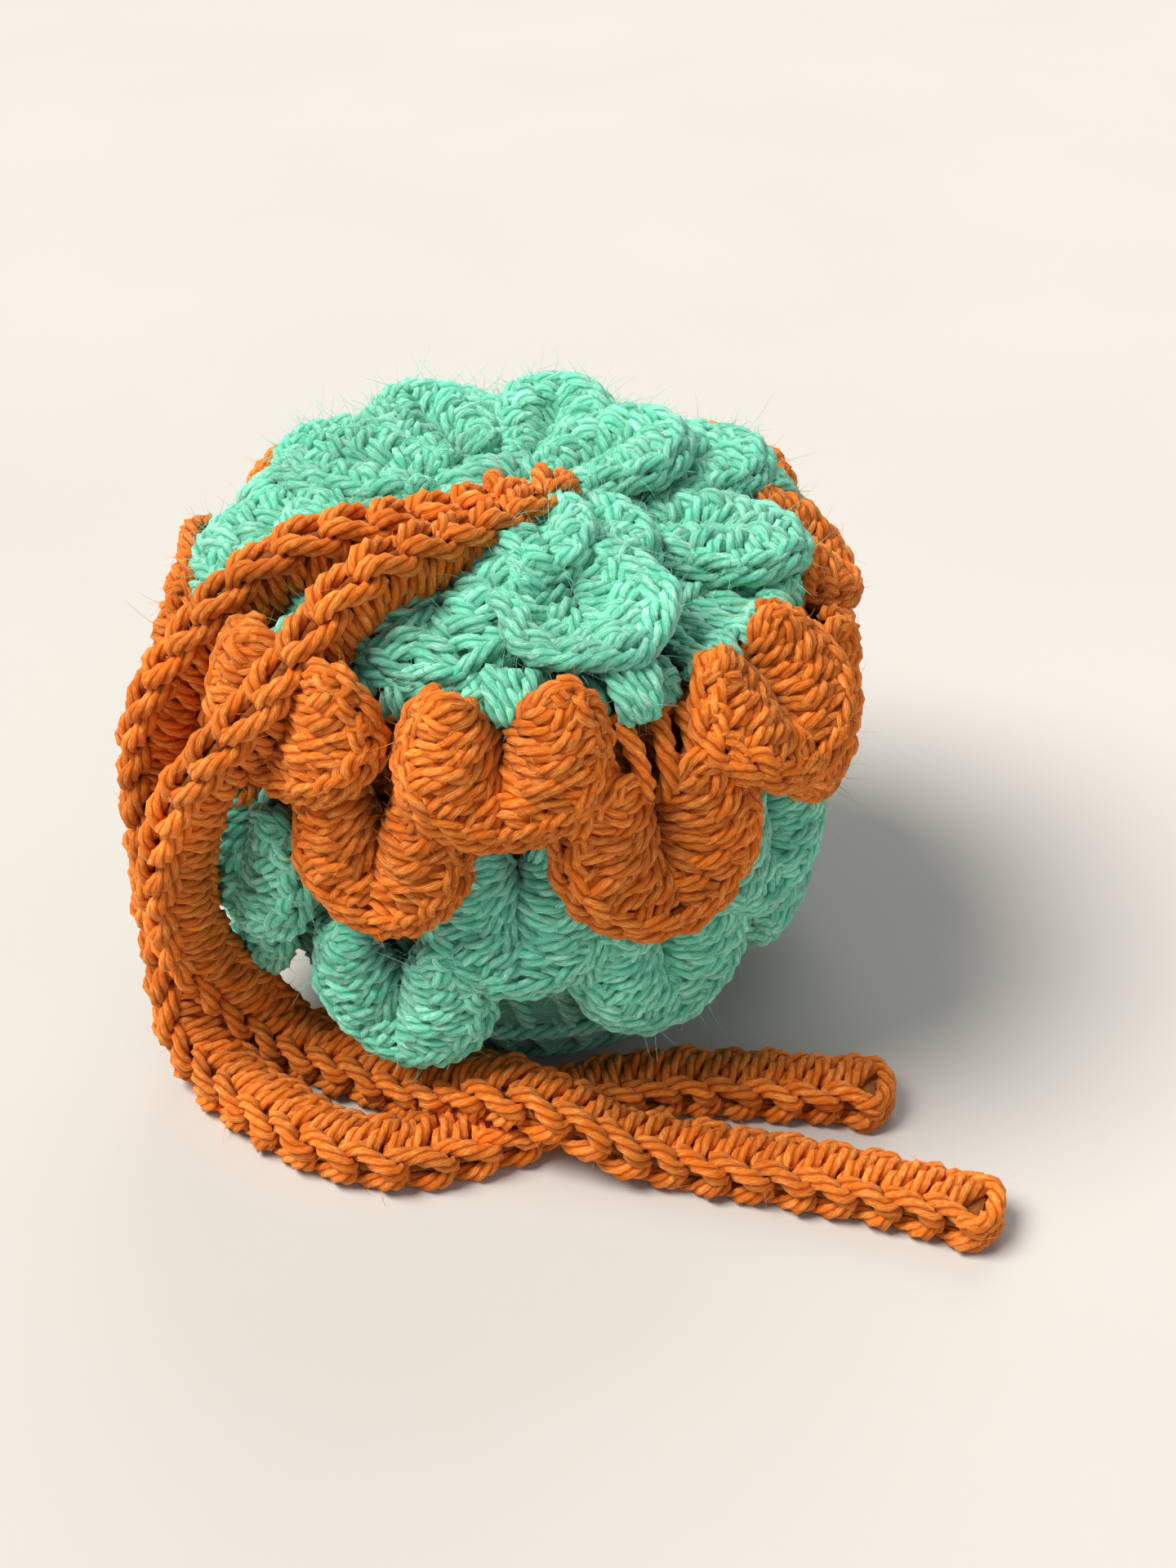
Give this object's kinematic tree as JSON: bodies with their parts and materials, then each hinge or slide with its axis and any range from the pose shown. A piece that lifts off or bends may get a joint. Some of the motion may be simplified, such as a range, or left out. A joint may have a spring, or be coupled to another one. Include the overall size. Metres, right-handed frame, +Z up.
{
  "type": "drawstring dice bag",
  "caption": "Round crocheted drawstring pouch for dice, with overlapping dragon-scale rows in mint and orange yarn and a flat cord with two loose tails.",
  "frame": {"origin": "centre of the round base, on the table", "axes": "+Z up through the mouth, -Y is the front that the two cord tails pass, +X to the right of the front"},
  "size_m": [0.1311, 0.1257, 0.0989],
  "materials": {
    "mint_yarn": "soft crocheted worsted acrylic yarn, slightly fuzzy",
    "orange_yarn": "soft crocheted worsted acrylic yarn"
  },
  "bodies": {
    "bag_body": {"base_disc": "mint_yarn", "lower_wall": "mint_yarn", "middle_wall": "orange_yarn", "row1_scale_1": "mint_yarn", "row1_scale_2": "mint_yarn", "row1_scale_3": "mint_yarn", "row1_scale_4": "mint_yarn", "row1_scale_5": "mint_yarn", "row1_scale_6": "mint_yarn", "row1_scale_7": "mint_yarn", "row1_scale_8": "mint_yarn", "row2_scale_1": "mint_yarn", "row2_scale_2": "mint_yarn", "row2_scale_3": "mint_yarn", "row2_scale_4": "mint_yarn", "row2_scale_5": "mint_yarn", "row2_scale_6": "mint_yarn", "row2_scale_7": "mint_yarn", "row2_scale_8": "mint_yarn", "row3_scale_1": "orange_yarn", "row3_scale_2": "orange_yarn", "row3_scale_3": "orange_yarn", "row3_scale_4": "orange_yarn", "row3_scale_5": "orange_yarn", "row3_scale_6": "orange_yarn", "row3_scale_7": "orange_yarn", "row3_scale_8": "orange_yarn", "row4_scale_1": "orange_yarn", "row4_scale_2": "orange_yarn", "row4_scale_3": "orange_yarn", "row4_scale_4": "orange_yarn", "row4_scale_5": "orange_yarn", "row4_scale_6": "orange_yarn", "row4_scale_7": "orange_yarn", "row4_scale_8": "orange_yarn", "drawstring": "orange_yarn"},
    "mouth_petal_1": {"mouth_gore_1": "mint_yarn", "row5_scale_1": "mint_yarn", "row6_scale_1": "mint_yarn"},
    "mouth_petal_2": {"mouth_gore_2": "mint_yarn", "row5_scale_2": "mint_yarn", "row6_scale_2": "mint_yarn"},
    "mouth_petal_3": {"mouth_gore_3": "mint_yarn", "row5_scale_3": "mint_yarn", "row6_scale_3": "mint_yarn"},
    "mouth_petal_4": {"mouth_gore_4": "mint_yarn", "row5_scale_4": "mint_yarn", "row6_scale_4": "mint_yarn"},
    "mouth_petal_5": {"mouth_gore_5": "mint_yarn", "row5_scale_5": "mint_yarn", "row6_scale_5": "mint_yarn"},
    "mouth_petal_6": {"mouth_gore_6": "mint_yarn", "row5_scale_6": "mint_yarn", "row6_scale_6": "mint_yarn"},
    "mouth_petal_7": {"mouth_gore_7": "mint_yarn", "row5_scale_7": "mint_yarn", "row6_scale_7": "mint_yarn"},
    "mouth_petal_8": {"mouth_gore_8": "mint_yarn", "row5_scale_8": "mint_yarn", "row6_scale_8": "mint_yarn"}
  },
  "joints": [
    {"name": "mouth_fold_1", "type": "hinge", "parent": "bag_body", "child": "mouth_petal_1", "pos_m": [0.00852, -0.0401, 0.077], "axis": [0.9781, 0.2079, 0], "range_deg": [0, 70], "deforming": ["drawstring"]},
    {"name": "mouth_fold_2", "type": "hinge", "parent": "bag_body", "child": "mouth_petal_2", "pos_m": [0.03438, -0.02233, 0.077], "axis": [0.5446, 0.8387, 0], "range_deg": [0, 70]},
    {"name": "mouth_fold_3", "type": "hinge", "parent": "bag_body", "child": "mouth_petal_3", "pos_m": [0.0401, 0.00852, 0.077], "axis": [-0.2079, 0.9781, 0], "range_deg": [0, 70]},
    {"name": "mouth_fold_4", "type": "hinge", "parent": "bag_body", "child": "mouth_petal_4", "pos_m": [0.02233, 0.03438, 0.077], "axis": [-0.8387, 0.5446, 0], "range_deg": [0, 70]},
    {"name": "mouth_fold_5", "type": "hinge", "parent": "bag_body", "child": "mouth_petal_5", "pos_m": [-0.00852, 0.0401, 0.077], "axis": [-0.9781, -0.2079, 0], "range_deg": [0, 70]},
    {"name": "mouth_fold_6", "type": "hinge", "parent": "bag_body", "child": "mouth_petal_6", "pos_m": [-0.03438, 0.02233, 0.077], "axis": [-0.5446, -0.8387, 0], "range_deg": [0, 70]},
    {"name": "mouth_fold_7", "type": "hinge", "parent": "bag_body", "child": "mouth_petal_7", "pos_m": [-0.0401, -0.00852, 0.077], "axis": [0.2079, -0.9781, 0], "range_deg": [0, 70]},
    {"name": "mouth_fold_8", "type": "hinge", "parent": "bag_body", "child": "mouth_petal_8", "pos_m": [-0.02233, -0.03438, 0.077], "axis": [0.8387, -0.5446, 0], "range_deg": [0, 70]}
  ],
  "couplings": [
    {"joint": "mouth_fold_2", "follows": "mouth_fold_1", "ratio": 1},
    {"joint": "mouth_fold_3", "follows": "mouth_fold_1", "ratio": 1},
    {"joint": "mouth_fold_4", "follows": "mouth_fold_1", "ratio": 1},
    {"joint": "mouth_fold_5", "follows": "mouth_fold_1", "ratio": 1},
    {"joint": "mouth_fold_6", "follows": "mouth_fold_1", "ratio": 1},
    {"joint": "mouth_fold_7", "follows": "mouth_fold_1", "ratio": 1},
    {"joint": "mouth_fold_8", "follows": "mouth_fold_1", "ratio": 1}
  ]
}
